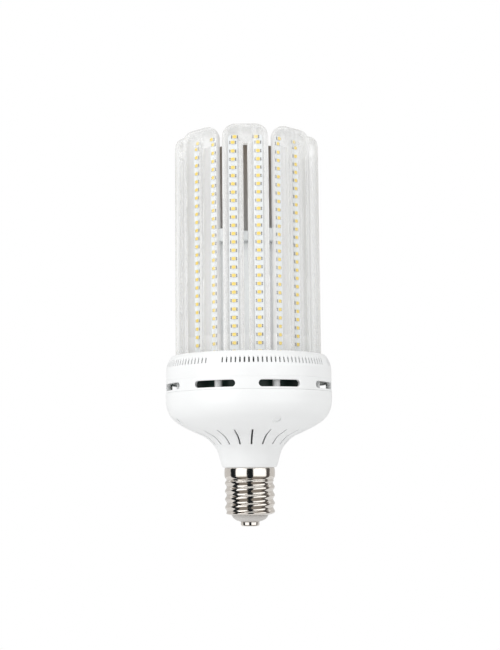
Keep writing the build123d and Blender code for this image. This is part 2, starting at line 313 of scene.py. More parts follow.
def moved_in(outline, wall):
    """Outline moved inwards by a wall, square to its own run."""
    result = []
    for i, (r, z) in enumerate(outline):
        before, after = outline[max(i - 1, 0)], outline[min(i + 1, len(outline) - 1)]
        run = Vector((after[0] - before[0], after[1] - before[1])).normalized()
        result.append((r - wall * run.y, z + wall * run.x))
    return result


def finish_piece(piece, material, slot, *replaced):
    """Give a piece its material and body, and hide the solids that it stands for; slot is not used."""
    if material is not None:
        piece.data.materials.clear()
        piece.data.materials.append(material)
    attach(piece, BODY)
    if replaced:
        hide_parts(*replaced)
    return piece


# Materials


def finish_group():
    """Node group that varies a colour, a roughness and a fine height over a surface."""
    name = "Surface finish"
    if name in bpy.data.node_groups:
        return bpy.data.node_groups[name]
    group = bpy.data.node_groups.new(name, "ShaderNodeTree")
    sockets = (
        ("Colour", "NodeSocketColor"),
        ("Second colour", "NodeSocketColor"),
        ("Blotch scale", "NodeSocketFloat"),
        ("Grain scale", "NodeSocketFloat"),
        ("Roughness low", "NodeSocketFloat"),
        ("Roughness high", "NodeSocketFloat"),
    )
    for socket, kind in sockets:
        group.interface.new_socket(socket, in_out="INPUT", socket_type=kind)
    group.interface.new_socket("Colour", in_out="OUTPUT", socket_type="NodeSocketColor")
    group.interface.new_socket("Roughness", in_out="OUTPUT", socket_type="NodeSocketFloat")
    group.interface.new_socket("Height", in_out="OUTPUT", socket_type="NodeSocketFloat")
    nodes, links = group.nodes, group.links
    inputs = nodes.new("NodeGroupInput")
    outputs = nodes.new("NodeGroupOutput")
    place = nodes.new("ShaderNodeTexCoord")
    blotch = nodes.new("ShaderNodeTexNoise")
    grain = nodes.new("ShaderNodeTexNoise")
    blotch.inputs["Detail"].default_value = 4
    grain.inputs["Detail"].default_value = 3
    mix = nodes.new("ShaderNodeMix")
    mix.data_type = "RGBA"
    spread = nodes.new("ShaderNodeMapRange")
    links.new(place.outputs["Object"], blotch.inputs["Vector"])
    links.new(place.outputs["Object"], grain.inputs["Vector"])
    links.new(inputs.outputs["Blotch scale"], blotch.inputs["Scale"])
    links.new(inputs.outputs["Grain scale"], grain.inputs["Scale"])
    links.new(blotch.outputs["Fac"], mix.inputs["Factor"])
    links.new(inputs.outputs["Colour"], mix.inputs["A"])
    links.new(inputs.outputs["Second colour"], mix.inputs["B"])
    links.new(blotch.outputs["Fac"], spread.inputs["Value"])
    links.new(inputs.outputs["Roughness low"], spread.inputs["To Min"])
    links.new(inputs.outputs["Roughness high"], spread.inputs["To Max"])
    links.new(mix.outputs["Result"], outputs.inputs["Colour"])
    links.new(spread.outputs["Result"], outputs.inputs["Roughness"])
    links.new(grain.outputs["Fac"], outputs.inputs["Height"])
    return group


def link_colour(colour_value):
    """Four numbers of a colour socket."""
    return (*colour_value[:3], 1)


def surface(name, first, second, roughness, blotch=40, grain=900, bump=0.1, depth=0.00005, **plain):
    """Principled material over the shared finish group; plain sets the shader's own sockets."""
    if name in bpy.data.materials:
        return bpy.data.materials[name]
    material = bpy.data.materials.new(name)
    material.use_nodes = True
    nodes, links = material.node_tree.nodes, material.node_tree.links
    shader = nodes["Principled BSDF"]
    group = nodes.new("ShaderNodeGroup")
    group.node_tree = finish_group()
    group.inputs["Colour"].default_value = link_colour(first)
    group.inputs["Second colour"].default_value = link_colour(second)
    group.inputs["Blotch scale"].default_value = blotch
    group.inputs["Grain scale"].default_value = grain
    group.inputs["Roughness low"].default_value = roughness[0]
    group.inputs["Roughness high"].default_value = roughness[1]
    relief = nodes.new("ShaderNodeBump")
    relief.inputs["Strength"].default_value = bump
    relief.inputs["Distance"].default_value = depth
    links.new(group.outputs["Colour"], shader.inputs["Base Color"])
    links.new(group.outputs["Roughness"], shader.inputs["Roughness"])
    links.new(group.outputs["Height"], relief.inputs["Height"])
    links.new(relief.outputs["Normal"], shader.inputs["Normal"])
    for socket, value in plain.items():
        shader.inputs[socket.replace("_", " ")].default_value = value
    return material


def shade(base, factor):
    """A colour made a little darker or lighter."""
    return tuple(min(1.0, c * factor) for c in base[:3])


def housing_white():
    """Fine-grained white moulded plastic."""
    base = colours().housing
    name = "Housing white"
    if name in bpy.data.materials:
        return bpy.data.materials[name]
    material = surface(name, base, shade(base, 0.985), (0.38, 0.5), 25, 1400, 0.12, 0.00004)
    return let_light_through(material, 0.25)


def nickel_plate():
    """Bright nickel plate with faint draw haze."""
    base = colours().nickel
    return surface("Nickel plate", base, shade(base, 0.92), (0.07, 0.15), 120, 500, 0.05, Metallic=1)


def insulator_glass():
    """Grey-white glassy insulator."""
    return surface("Insulator", (0.62, 0.60, 0.57), (0.56, 0.54, 0.52), (0.25, 0.4), 60, 700, 0.15)


def let_light_through(material, share):
    """Let part of the light rays pass a white or clear wall that the camera sees as it is."""
    nodes, links = material.node_tree.nodes, material.node_tree.links
    shader = nodes["Principled BSDF"]
    paths = nodes.new("ShaderNodeLightPath")
    either = nodes.new("ShaderNodeMath")
    either.operation = "MAXIMUM"
    blocked = nodes.new("ShaderNodeMapRange")
    blocked.inputs["To Min"].default_value = 1
    blocked.inputs["To Max"].default_value = 1 - share
    links.new(paths.outputs["Is Shadow Ray"], either.inputs[0])
    links.new(paths.outputs["Is Diffuse Ray"], either.inputs[1])
    links.new(either.outputs[0], blocked.inputs["Value"])
    if shader.inputs["Alpha"].is_linked:
        seen = shader.inputs["Alpha"].links[0].from_socket
        both = nodes.new("ShaderNodeMath")
        both.operation = "MULTIPLY"
        links.new(seen, both.inputs[0])
        links.new(blocked.outputs["Result"], both.inputs[1])
        links.new(both.outputs[0], shader.inputs["Alpha"])
    else:
        links.new(blocked.outputs["Result"], shader.inputs["Alpha"])
    return material


def tone_by_height(material, start, end, tone):
    """Blend the base colour into another tone between two heights."""
    nodes, links = material.node_tree.nodes, material.node_tree.links
    shader = nodes["Principled BSDF"]
    plain = shader.inputs["Base Color"].links[0].from_socket
    place = nodes.new("ShaderNodeTexCoord")
    split = nodes.new("ShaderNodeSeparateXYZ")
    rise = nodes.new("ShaderNodeMapRange")
    rise.inputs["From Min"].default_value = start
    rise.inputs["From Max"].default_value = end
    mix = nodes.new("ShaderNodeMix")
    mix.data_type = "RGBA"
    mix.inputs["B"].default_value = link_colour(tone)
    links.new(place.outputs["Object"], split.inputs[0])
    links.new(split.outputs["Z"], rise.inputs["Value"])
    links.new(rise.outputs["Result"], mix.inputs["Factor"])
    links.new(plain, mix.inputs["A"])
    links.new(mix.outputs["Result"], shader.inputs["Base Color"])
    return material


def back_white():
    """White, slightly translucent half of the tubes, with painted shade that makes it darker above the
    cover's collar top.
    """
    name = "Tube back white"
    if name in bpy.data.materials:
        return bpy.data.materials[name]
    base = colours().back
    material = surface(name, shade(base, 1.06), base, (0.3, 0.42), 30, 600, 0.08)
    # Painted shade: above the cover's collar top the tube back is painted darker, which leaves a lighter
    # painted band below it.
    step = top("top_cover")
    tone_by_height(material, step - 0.3 * MM, step + 0.3 * MM, shade(base, 0.91))
    return let_light_through(material, 0.85)


def board_white():
    """Bluish white solder mask."""
    name = "Board white"
    if name in bpy.data.materials:
        return bpy.data.materials[name]
    base = colours().board
    material = surface(name, base, shade(base, 0.96), (0.35, 0.5), 80, 1200, 0.08)
    return let_light_through(material, 0.7)


def clear_lens():
    """Clear plastic, milky where it is seen edge on, with faint lines along the draw."""
    name = "Clear lens"
    if name in bpy.data.materials:
        return bpy.data.materials[name]
    material = surface(name, (0.98, 0.985, 0.98), (0.96, 0.97, 0.965), (0.09, 0.11), 50, 300, 0.01)
    nodes, links = material.node_tree.nodes, material.node_tree.links
    rim = nodes.new("ShaderNodeLayerWeight")
    rim.inputs["Blend"].default_value = 0.5
    bend = nodes.new("ShaderNodeMath")
    bend.operation = "POWER"
    bend.inputs[1].default_value = 1.6
    veil = nodes.new("ShaderNodeMapRange")
    veil.inputs["To Min"].default_value = 0.07
    veil.inputs["To Max"].default_value = 0.85
    place = nodes.new("ShaderNodeTexCoord")
    stretch = nodes.new("ShaderNodeMapping")
    stretch.inputs["Scale"].default_value = (240, 240, 1.5)
    lines = nodes.new("ShaderNodeTexNoise")
    lines.inputs["Scale"].default_value = 1
    lines.inputs["Detail"].default_value = 0
    strength = nodes.new("ShaderNodeMapRange")
    strength.inputs["From Min"].default_value = 0.55
    strength.inputs["From Max"].default_value = 0.75
    strength.inputs["To Max"].default_value = 0.2
    total = nodes.new("ShaderNodeMath")
    total.operation = "ADD"
    total.use_clamp = True
    links.new(rim.outputs["Facing"], bend.inputs[0])
    links.new(bend.outputs[0], veil.inputs["Value"])
    links.new(place.outputs["Object"], stretch.inputs["Vector"])
    links.new(stretch.outputs["Vector"], lines.inputs["Vector"])
    links.new(lines.outputs["Fac"], strength.inputs["Value"])
    links.new(veil.outputs["Result"], total.inputs[0])
    links.new(strength.outputs["Result"], total.inputs[1])
    links.new(total.outputs[0], nodes["Principled BSDF"].inputs["Alpha"])
    return let_light_through(material, 0.93)


def phosphor():
    """Yellow phosphor gel."""
    base = colours().phosphor
    return surface("Phosphor", base, (1.0, 0.74, 0.10), (0.35, 0.5), 500, 2000, 0.2)


def solder_dark():
    """Dark grey-brown solder pads."""
    return surface("Solder pads", (0.05, 0.045, 0.045), (0.10, 0.09, 0.085), (0.3, 0.5), 300, 1500, 0.2)


def core_metal():
    """Dark satin core, browner towards its top."""
    name = "Core metal"
    if name in bpy.data.materials:
        return bpy.data.materials[name]
    tones = colours()
    material = surface(name, tones.core, shade(tones.core, 1.1), (0.4, 0.55), 20, 900, 0.1)
    return tone_by_height(material, top("inner_sleeve") + 10 * MM, top("heat_sink_core"), tones.core_top)


def sleeve_white():
    """Pale grey-white sleeve."""
    base = colours().sleeve
    return surface("Sleeve white", base, shade(base, 0.95), (0.4, 0.55), 15, 900, 0.1)


def sheet_green():
    """Dark green insulating sheet round the driver."""
    return surface("Sheet green", (0.018, 0.06, 0.047), (0.012, 0.045, 0.035), (0.3, 0.45), 60, 900, 0.1)


def clip_plastic():
    """Milky plastic of the clip ring."""
    return surface("Clip plastic", (0.66, 0.68, 0.68), (0.60, 0.62, 0.62), (0.2, 0.35), 60, 900, 0.1)


def driver_green():
    """Green solder mask with darker traces."""
    base = colours().green
    return surface("Driver green", base, shade(base, 0.6), (0.25, 0.4), 150, 1500, 0.2)


def black_parts():
    """Black sleeves and cases of the driver parts."""
    return surface("Black parts", (0.02, 0.022, 0.022), (0.035, 0.037, 0.037), (0.35, 0.55), 100, 900, 0.2)


def copper_wire():
    """Enamelled copper winding."""
    return surface(
        "Copper wire", (0.42, 0.18, 0.07), (0.30, 0.12, 0.05), (0.3, 0.4), 200, 1500, 0.4, Metallic=0.8
    )


def bare_metal():
    """Bare extruded aluminium and zinc-plated steel."""
    return surface(
        "Bare metal", (0.62, 0.63, 0.64), (0.52, 0.53, 0.54), (0.3, 0.45), 100, 900, 0.2, Metallic=1
    )


def lead_rubber():
    """Insulation of the leads."""
    return surface("Lead rubber", (0.03, 0.03, 0.03), (0.05, 0.05, 0.05), (0.45, 0.6), 100, 900, 0.2)


# Operators


class LampOperator:
    """What the lamp's operators share."""

    bl_options = {"REGISTER", "UNDO"}


class LAMP_OT_stage(LampOperator, bpy.types.Operator):
    """Camera, soft lamps, white world, reflected cards and a pale floor below the lamp"""

    bl_idname = "lamp.stage"
    bl_label = "Stage"

    def execute(self, context):
        add_camera()
        add_world()
        add_lamps()
        add_cards()
        add_floor()
        return {"FINISHED"}


def add_camera():
    """Camera of the photograph: a little below the lamp's middle, looking up."""
    distance = 994 * MM
    focus = Vector((1.4 * MM, 0, 159 * MM))
    pitch = math.radians(6.2)
    orbit = math.radians(1.15)
    roll = math.radians(-0.57)
    focal_px = 1242
    sensor_px = 650
    sensor_mm = 36
    place = focus + Vector((
        distance * math.cos(pitch) * math.sin(orbit),
        -distance * math.cos(pitch) * math.cos(orbit),
        -distance * math.sin(pitch),
    ))
    data = bpy.data.cameras.new("Camera")
    data.sensor_width = sensor_mm
    data.lens = focal_px * sensor_mm / sensor_px
    data.clip_end = 20
    camera = bpy.data.objects.new("Camera", data)
    bpy.context.scene.collection.objects.link(camera)
    look = (focus - place).to_track_quat("-Z", "Y").to_matrix()
    camera.matrix_world = Matrix.Translation(place) @ (look @ Matrix.Rotation(roll, 3, "Z")).to_4x4()
    bpy.context.scene.camera = camera


def white_where_seen(nodes, links, plain, seen):
    """Mix of two shaders: the seen one for camera, glossy and transmitted rays."""
    paths = nodes.new("ShaderNodeLightPath")
    first = nodes.new("ShaderNodeMath")
    first.operation = "MAXIMUM"
    second = nodes.new("ShaderNodeMath")
    second.operation = "MAXIMUM"
    mix = nodes.new("ShaderNodeMixShader")
    links.new(paths.outputs["Is Camera Ray"], first.inputs[0])
    links.new(paths.outputs["Is Glossy Ray"], first.inputs[1])
    links.new(first.outputs[0], second.inputs[0])
    links.new(paths.outputs["Is Transmission Ray"], second.inputs[1])
    links.new(second.outputs[0], mix.inputs["Fac"])
    links.new(plain.outputs[0], mix.inputs[1])
    links.new(seen.outputs[0], mix.inputs[2])
    return mix


def add_world():
    """Even soft light, white where it is seen."""
    world = bpy.data.worlds.new("Studio")
    bpy.context.scene.world = world
    world.use_nodes = True
    nodes, links = world.node_tree.nodes, world.node_tree.links
    soft = nodes["Background"]
    soft.inputs["Color"].default_value = (1, 1, 1, 1)
    soft.inputs["Strength"].default_value = 0.74
    white = nodes.new("ShaderNodeBackground")
    white.inputs["Color"].default_value = (1, 1, 1, 1)
    white.inputs["Strength"].default_value = 1
    mix = white_where_seen(nodes, links, soft, white)
    links.new(mix.outputs[0], nodes["World Output"].inputs["Surface"])


def add_lamps():
    """Two soft boxes in front, the left one brighter."""
    boxes = (
        ("Key box", -46, 26, 1.5, 7.9, 0.9),
        ("Fill box", 52, 34, 1.5, 3.9, 0.9),
    )
    focus = Vector((0, 0, 150 * MM))
    for name, turn, rise, distance, power, size in boxes:
        data = bpy.data.lights.new(name, "AREA")
        data.energy = power
        data.shape = "SQUARE"
        data.size = size
        lamp = bpy.data.objects.new(name, data)
        flat = math.cos(math.radians(rise)) * distance
        place = focus + on_circle(math.radians(turn), flat, math.sin(math.radians(rise)) * distance)
        aim = (focus - place).to_track_quat("-Z", "Y").to_matrix().to_4x4()
        lamp.matrix_world = Matrix.Translation(place) @ aim
        bpy.context.scene.collection.objects.link(lamp)


def tall_outline(radius, floor_z):
    """Outline of a card from overhead down to the floor and in under the lamp."""
    lowest = math.degrees(math.asin(floor_z / radius))
    return [*arc((0, 30 * MM), radius, 75, lowest, 14), (0.6, floor_z), (0.12, floor_z)]


def add_cards():
    """Cards that only bright metal and gloss reflect: dark strips, bright windows and dull ends."""
    radius, floor_z = 1.2, -0.28
    tall = tall_outline(radius, floor_z)
    high = arc((0, 30 * MM), radius, 75, 34, 8)
    window = arc((0, 30 * MM), radius, 28, -12, 8)
    under = [(0.75, floor_z), (0.12, floor_z)]
    black, dark, bright = (0.012, 0.015, 0.017), (0.10, 0.09, 0.085), (1.45, 1.45, 1.45)
    dull, pale = (0.30, 0.27, 0.24), (0.70, 0.69, 0.68)
    cards = (
        ("Middle card", -12, 17, tall, black),
        ("Left card", -95, -65, tall, black),
        ("Right card", 82, 104, tall, dark),
        ("Left window", -63, -14, window, bright),
        ("Right window", 19, 80, window, bright),
        ("Left end window", -180, -95, window, pale),
        ("Right end window", 104, 180, window, pale),
        ("Left high card", -65, -10, high, dull),
        ("Right high card", 15, 82, high, dull),
        ("Left end high card", -180, -95, high, dull),
        ("Right end high card", 104, 180, high, dull),
        ("Left low card", -65, -10, under, dull),
        ("Right low card", 15, 82, under, dull),
    )
    for name, start, end, outline, tone in cards:
        add_card(name, start, end, outline, tone)


def add_card(name, start, end, outline, tone):
    """One glossy-only card, its outline turned from one bearing to another."""
    glow = bpy.data.materials.new(name)
    glow.use_nodes = True
    nodes, links = glow.node_tree.nodes, glow.node_tree.links
    light = nodes.new("ShaderNodeEmission")
    light.inputs["Color"].default_value = link_colour(tone)
    links.new(light.outputs[0], nodes["Material Output"].inputs["Surface"])
    steps, count = 12, len(outline)
    points, faces = [], []
    for k in range(steps + 1):
        turn = math.radians(start + (end - start) * k / steps)
        points += [on_circle(turn, r, z) for r, z in outline]
    for k in range(steps):
        for j in range(count - 1):
            a = k * count + j
            faces.append((a, a + 1, a + count + 1, a + count))
    mesh = bpy.data.meshes.new(name)
    mesh.from_pydata(points, [], faces)
    mesh.materials.append(glow)
    card = bpy.data.objects.new(name, mesh)
    card.visible_camera = False
    card.visible_diffuse = False
    card.visible_transmission = False
    card.visible_shadow = False
    bpy.context.scene.collection.objects.link(card)


def add_floor():
    """Pale floor well below the lamp, which hangs clear of it."""
    clear_selection()
    bpy.ops.mesh.primitive_circle_add(vertices=64, radius=1.25, fill_type="NGON", location=(0, 0, -0.3))
    floor = bpy.context.object
    floor.name = "Floor"
    material = bpy.data.materials.new("Floor pale")
    material.use_nodes = True
    shader = material.node_tree.nodes["Principled BSDF"]
    shader.inputs["Base Color"].default_value = (0.93, 0.93, 0.93, 1)
    shader.inputs["Roughness"].default_value = 0.8
    floor.data.materials.append(material)


class LAMP_OT_cap(LampOperator, bpy.types.Operator):
    """Screw cap: threaded nickel shell, insulator and bottom contact"""

    bl_idname = "lamp.cap"
    bl_label = "Screw cap"

    def execute(self, context):
        make_shell()
        make_insulator()
        make_contact()
        return {"FINISHED"}


def shell_radius(turn, z, low, high):
    """Radius of the screw shell at a turn and height: rolled thread, plain collar, staking dents."""
    s = sizes()
    first_crest = low + 2.8 * MM
    thread_top = low + 28.7 * MM
    lip_top, lip_r = low + 2.2 * MM, 14.7 * MM
    phase = math.tau * ((z - first_crest) / s.pitch - turn / math.tau)
    middle = (s.crest_r + s.root_r) / 2
    wave = middle + (s.crest_r - s.root_r) / 2 * math.cos(phase)
    fade = min(1, max(0, (z - (thread_top - 3 * MM)) / (3.2 * MM)))
    fade = fade * fade * (3 - 2 * fade)
    foot = thread_top + 0.2 * MM
    away = abs(2 * (z - foot) / (high - foot) - 1)
    collar = s.collar_r - 0.6 * MM * min(away, 1.3) ** 4
    radius = wave + (collar - wave) * fade
    if z < lip_top:
        share = (lip_top - z) / (lip_top - low)
        radius -= (radius - lip_r) * share ** 3
    dents, shift = 12, 0.88
    dent_z, dent_r, dent_depth = high - 1.5 * MM, 0.55 * MM, 0.3 * MM
    sideways = ((turn * dents / math.tau + shift) % 1 - 0.5) * math.tau / dents * s.collar_r
    return radius - dent_depth * math.exp(-(sideways ** 2 + (z - dent_z) ** 2) / dent_r ** 2)


def make_shell():
    """Thread by formula on a fine grid, then given its wall."""
    around, rows = 144, 150
    low, high = bottom("screw_shell"), top("screw_shell")
    points, faces = [], []
    for j in range(rows + 1):
        z = low + (high - low) * j / rows
        for i in range(around):
            turn = math.tau * i / around
            radius = shell_radius(turn, z, low, high)
            points.append((radius * math.cos(turn), radius * math.sin(turn), z))
    for j in range(rows):
        for i in range(around):
            k = (i + 1) % around
            faces.append((j * around + i, j * around + k, (j + 1) * around + k, (j + 1) * around + i))
    mesh = bpy.data.meshes.new("cap_shell")
    mesh.from_pydata(points, [], faces)
    shell = bpy.data.objects.new("cap_shell", mesh)
    bpy.context.scene.collection.objects.link(shell)
    apply_modifier(shell, "SOLIDIFY", thickness=0.45 * MM, offset=-1)
    smooth(shell, 60)
    finish_piece(shell, nickel_plate(), "nickel", "screw_shell")


def make_insulator():
    """Round-sided cone under the shell."""
    low, high = bottom("insulator"), top("insulator")
    hole, foot, rim = 1.7 * MM, 7.6 * MM, 14.5 * MM
    outline = [(hole, low), (foot, low)]
    outline += curve_through([
        (foot, low), (11.2 * MM, low + 1.3 * MM), (13.5 * MM, low + 3.2 * MM), (rim, low + 5.3 * MM)
    ], 5)[1:]
    outline += [(rim, high), (hole, high), (hole, low)]
    piece = smooth(turn_outline("cap_insulator", outline, 72))
    finish_piece(piece, insulator_glass(), "insulator", "insulator")


def make_contact():
    """Pressed contact with a rolled edge and a shallow dish."""
    low = bottom("centre_contact")
    rim, edge = 7.3 * MM, 1.2 * MM
    outline = [(0, low + 0.25 * MM), (4.6 * MM, low + 0.25 * MM), (5.2 * MM, low)]
    outline += arc((rim - edge, low + edge), edge, -90, 0, 6)
    outline += [(rim, low + 3.1 * MM), (rim - 0.3 * MM, low + 3.45 * MM), (1.6 * MM, low + 3.45 * MM)]
    outline += [(1.6 * MM, top("centre_contact")), (0, top("centre_contact"))]
    piece = smooth(turn_outline("cap_contact", outline, 64), 40)
    finish_piece(piece, nickel_plate(), "nickel", "centre_contact")


class LAMP_OT_housing(LampOperator, bpy.types.Operator):
    """White bowl with cooling slits and screw recesses"""

    bl_idname = "lamp.housing"
    bl_label = "Lower housing"

    def execute(self, context):
        make_bowl()
        return {"FINISHED"}


def bowl_outline(neck_z, rim_z):
    """Outer outline of the bowl from neck to rim."""
    s = sizes()
    rim_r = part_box("lower_housing")[1].x
    lower = arc((s.neck_r - 1.2 * MM, neck_z + 1.4 * MM), 1.4 * MM, -90, -10, 5)
    flare = [
        (s.neck_r + 0.8 * MM, neck_z + 2.6 * MM),
        (s.neck_r + 3.4 * MM, neck_z + 11.7 * MM),
        (28.2 * MM, neck_z + 17.6 * MM),
        (34.6 * MM, neck_z + 23.7 * MM),
        (42.4 * MM, neck_z + 27.4 * MM),
        (54.8 * MM, neck_z + 33.8 * MM),
        (61.9 * MM, neck_z + 40.0 * MM),
        (65.2 * MM, neck_z + 47.2 * MM),
        (rim_r, neck_z + 54.7 * MM),
    ]
    curve = [(min(r, rim_r), z) for r, z in curve_through(flare, 6)]
    return [*lower, *curve, (rim_r, rim_z)]


def make_bowl():
    """Spin the bowl, then cut its slits and recesses."""
    s = sizes()
    neck_z = 45.8 * MM
    post_circle_r = 57.3 * MM
    rim_z = bottom("vent_ring") + 2.0 * MM
    outer = bowl_outline(neck_z, rim_z)
    inner = moved_in(outer[5:-1], s.wall)
    spigot_r = 19.3 * MM
    low = bottom("lower_housing")
    outline = [*outer, (outer[-1][0] - s.wall, rim_z), *reversed(inner)]
    outline += [(spigot_r - s.wall, neck_z + 1 * MM), (spigot_r - s.wall, low), (spigot_r, low)]
    outline += [(spigot_r, neck_z), outer[0]]
    bowl = turn_outline("lower_bowl", outline, 160)
    slit = box_piece("slit", (-0.7 * MM, -55 * MM, 63.7 * MM), (0.7 * MM, -21 * MM, 74.7 * MM))
    slits = 20
    cut(bowl, ring_of(slit, [GAP_TURN + i * math.tau / slits for i in range(slits)], "slits"))
    recess = round_bar("recess", 3.15 * MM, on_circle(0, post_circle_r, 60 * MM),
                       on_circle(0, post_circle_r, 88 * MM))
    cut(bowl, ring_of(recess, [GAP_TURN + i * math.tau / SCREWS for i in range(SCREWS)], "recesses"))
    soften(bowl, 0.22 * MM, 2, 50)
    smooth(bowl, 35)
    finish_piece(bowl, housing_white(), "white_housing", "lower_housing")
    posts = []
    post_top = top("lower_housing")
    for i in range(TUBES):
        turn = GAP_TURN + i * TUBE_STEP
        stretches = [(2.8 * MM, 84 * MM, post_top)]
        if i % 2 == 0:
            stretches.append((4.8 * MM, 88.02 * MM, 93 * MM))
        for radius, start, end in stretches:
            posts.append(round_bar("post", radius, on_circle(turn, post_circle_r, start),
                                   on_circle(turn, post_circle_r, end), 24))
    post = smooth(join(posts, "housing_posts"))
    finish_piece(post, housing_white(), "white_housing")


class LAMP_OT_vent_ring(LampOperator, bpy.types.Operator):
    """Ring with eight long round-ended vents"""

    bl_idname = "lamp.vent_ring"
    bl_label = "Vent ring"

    def execute(self, context):
        make_vent_ring()
        return {"FINISHED"}


def make_vent_ring():
    """Spin the ring with its lips and cut the vents."""
    s = sizes()
    lip = 2 * MM
    low, high = bottom("vent_ring") + lip, top("vent_ring") - lip
    lip_r = UPPER_R - s.wall - 0.1 * MM
    lip_inner_r = lip_r - 1.6 * MM
    foot = (UPPER_R - SEAM, low + SEAM_FOOT)
    outline = [
        foot, (UPPER_R, low + SEAM), (UPPER_R, high - SEAM), (UPPER_R - SEAM, high - SEAM_FOOT),
        (lip_r, high), (lip_r, high + lip), (lip_inner_r, high + lip),
        (lip_inner_r, low - lip), (lip_r, low - lip), (lip_r, low), foot,
    ]
    ring = turn_outline("vent_band", outline, 160)
    middle_z = low + (high - low) * 0.445
    half = s.vent_length / 2 - s.vent_height / 2
    cutter = round_bar("vent", s.vent_height / 2, (0, -75 * MM, middle_z), (0, -55 * MM, middle_z), 24)
    for vertex in cutter.data.vertices:
        vertex.co.x += half if vertex.co.x > 0 else -half
    cut(ring, ring_of(cutter, [GAP_TURN + i * TUBE_STEP for i in range(TUBES)], "vents"))
    soften(ring, 0.3 * MM, 2, 50)
    smooth(ring, 35)
    finish_piece(ring, housing_white(), "white_housing", "vent_ring")


class LAMP_OT_cover(LampOperator, bpy.types.Operator):
    """Top cover with fine slots, sockets for the tubes and a middle collar"""

    bl_idname = "lamp.cover"
    bl_label = "Top cover"

    def execute(self, context):
        make_cover()
        return {"FINISHED"}


def slot_turns():
    """Turns of the cover's fine slots, with four blank stretches."""
    slots, blank = 120, math.radians(4.4)
    quarter = math.tau / SCREWS
    turns = [(i + 0.5) * math.tau / slots for i in range(slots)]
    return [t for t in turns if abs((t + GAP_TURN + quarter / 2) % quarter - quarter / 2) > blank]


def make_cover():
    """Spin the cover, then cut slots and sockets."""
    s = sizes()
    low = bottom("top_cover")
    face = low + 19.7 * MM
    rise = top("top_cover")
    rim_r, collar_out, bore = 61.8 * MM, 41.3 * MM, 39.5 * MM
    plate = face - 5 * MM
    shoulder = low + 7.7 * MM
    foot = (UPPER_R - SEAM, low + SEAM_FOOT)
    outline = [foot, (UPPER_R, low + SEAM_FOOT + SEAM), (UPPER_R, shoulder)]
    outline += curve_through([
        (UPPER_R, shoulder), (65.45 * MM, low + 10.2 * MM), (64.7 * MM, low + 13.3 * MM),
        (63.4 * MM, low + 16.6 * MM), (rim_r, face - 0.8 * MM),
    ], 3)[1:]
    outline += arc((rim_r - 1.2 * MM, face - 1.2 * MM), 1.2 * MM, 20, 90, 3)
    outline += [(collar_out, face), (collar_out, rise), (bore, rise), (bore, plate)]
    outline += [(62.6 * MM, plate), (UPPER_R - s.wall, shoulder), (UPPER_R - s.wall, low), foot]
    cover = turn_outline("top_cover_shell", outline, 240)
    half = s.slot_width / 2
    slot = box_piece("slot", (-half, -70 * MM, low + 10.4 * MM), (half, -62.2 * MM, low + 14.4 * MM))
    cut(cover, ring_of(slot, slot_turns(), "slots"))
    groove = box_piece("groove", (-half, -70 * MM, low + 14.2 * MM), (half, -63.6 * MM, low + 16.9 * MM))
    cut(cover, ring_of(groove, slot_turns(), "grooves"))
    legs = []
    for side in (-1, 1):
        x = side * s.leg_offset
        legs.append(round_bar("socket", s.leg_r + 0.1 * MM, (x, -s.leg_circle_r, face - 3 * MM),
                              (x, -s.leg_circle_r, face + 5 * MM), 40))
    socket = join(legs, "socket_pair")
    cut(cover, ring_of(socket, [i * TUBE_STEP for i in range(TUBES)], "sockets"))
    smooth(cover, 35)
    finish_piece(cover, housing_white(), "white_housing", "top_cover")


class LAMP_OT_core(LampOperator, bpy.types.Operator):
    """Dark core and pale sleeve"""

    bl_idname = "lamp.core"
    bl_label = "Core and sleeve"

    def execute(self, context):
        tube_piece("core_tube", "heat_sink_core", 1.6 * MM, core_metal(), "dark_core")
        tube_piece("sleeve_tube", "inner_sleeve", 1.2 * MM, sleeve_white(), "white_sleeve")
        return {"FINISHED"}


def tube_piece(name, node, wall, material, slot):
    """Smooth round tube in the place of a solid one, its rims rounded."""
    low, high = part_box(node)
    radius = high.x
    inner = radius - wall
    edge = 0.3 * MM
    outline = [
        (radius, low.z), (radius, high.z - edge), (radius - edge, high.z), (inner + edge, high.z),
        (inner, high.z - edge), (inner, low.z), (radius, low.z),
    ]
    piece = smooth(turn_outline(name, outline, 128))
    finish_piece(piece, material, slot, node)


class LAMP_OT_tubes(LampOperator, bpy.types.Operator):
    """Eight U tubes, each a clear front half and a white back half"""

    bl_idname = "lamp.tubes"
    bl_label = "U tubes"

    def execute(self, context):
        make_tubes()
        return {"FINISHED"}


def u_point(side, turn, u, v):
    """Point of the bent tube's corner: u outwards in the U's plane, v towards the front."""
    s = sizes()
    bridge_z = top("tube_1_lens") - s.leg_r
    middle_x = s.leg_offset - s.corner_turn
    middle_z = bridge_z - s.corner_turn
    reach = s.corner_turn + u
    if reach > 0:
        x, z = middle_x + reach * math.cos(turn), middle_z + reach * math.sin(turn)
    else:
        x, z = s.leg_offset + u, bridge_z + u
    return (side * x, -s.leg_circle_r - v, z)


def half_profile(front):
    """Closed profile of a half tube, outer arc then inner arc."""
    s = sizes()
    steps = 20
    sign = 1 if front else -1
    profile = []
    for radius, order in ((s.leg_r, 1), (s.leg_r - s.tube_wall, -1)):
        for k in list(range(steps + 1))[::order]:
            angle = math.pi * k / steps
            profile.append((radius * math.cos(angle), sign * radius * math.sin(angle)))
    return profile


